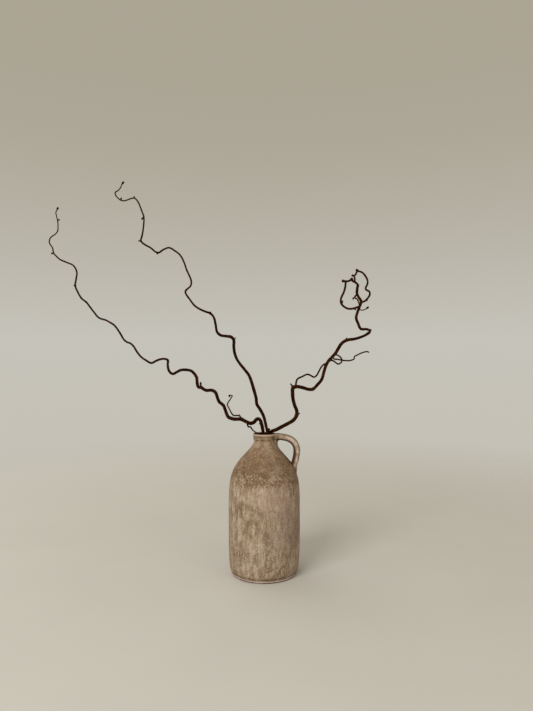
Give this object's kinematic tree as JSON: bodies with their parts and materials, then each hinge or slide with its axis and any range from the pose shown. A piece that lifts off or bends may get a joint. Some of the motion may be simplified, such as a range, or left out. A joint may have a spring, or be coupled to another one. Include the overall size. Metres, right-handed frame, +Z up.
{
  "type": "jug of twisted hazel branches",
  "caption": "Tall matte stoneware jug with a narrow collared neck and one strap handle, holding dry corkscrew hazel branches that spread wide above the mouth.",
  "frame": {"origin": "middle of the jug's foot, on the surface it stands on", "axes": "+Z up through the jug's mouth, +X towards the jug's handle and the short right branch, -Y towards the viewer"},
  "size_m": [0.7406, 0.168, 0.8668],
  "materials": {
    "stoneware": "unglazed, chalky wash rubbed back over tan clay",
    "bark_left": "dark brown bark with paler pores",
    "bark_middle": "dark brown bark with paler pores",
    "bark_right": "dark brown bark with paler pores"
  },
  "bodies": {
    "root": {"jug": "stoneware", "branch_left": "bark_left", "branch_middle": "bark_middle", "branch_right": "bark_right"}
  },
  "joints": []
}
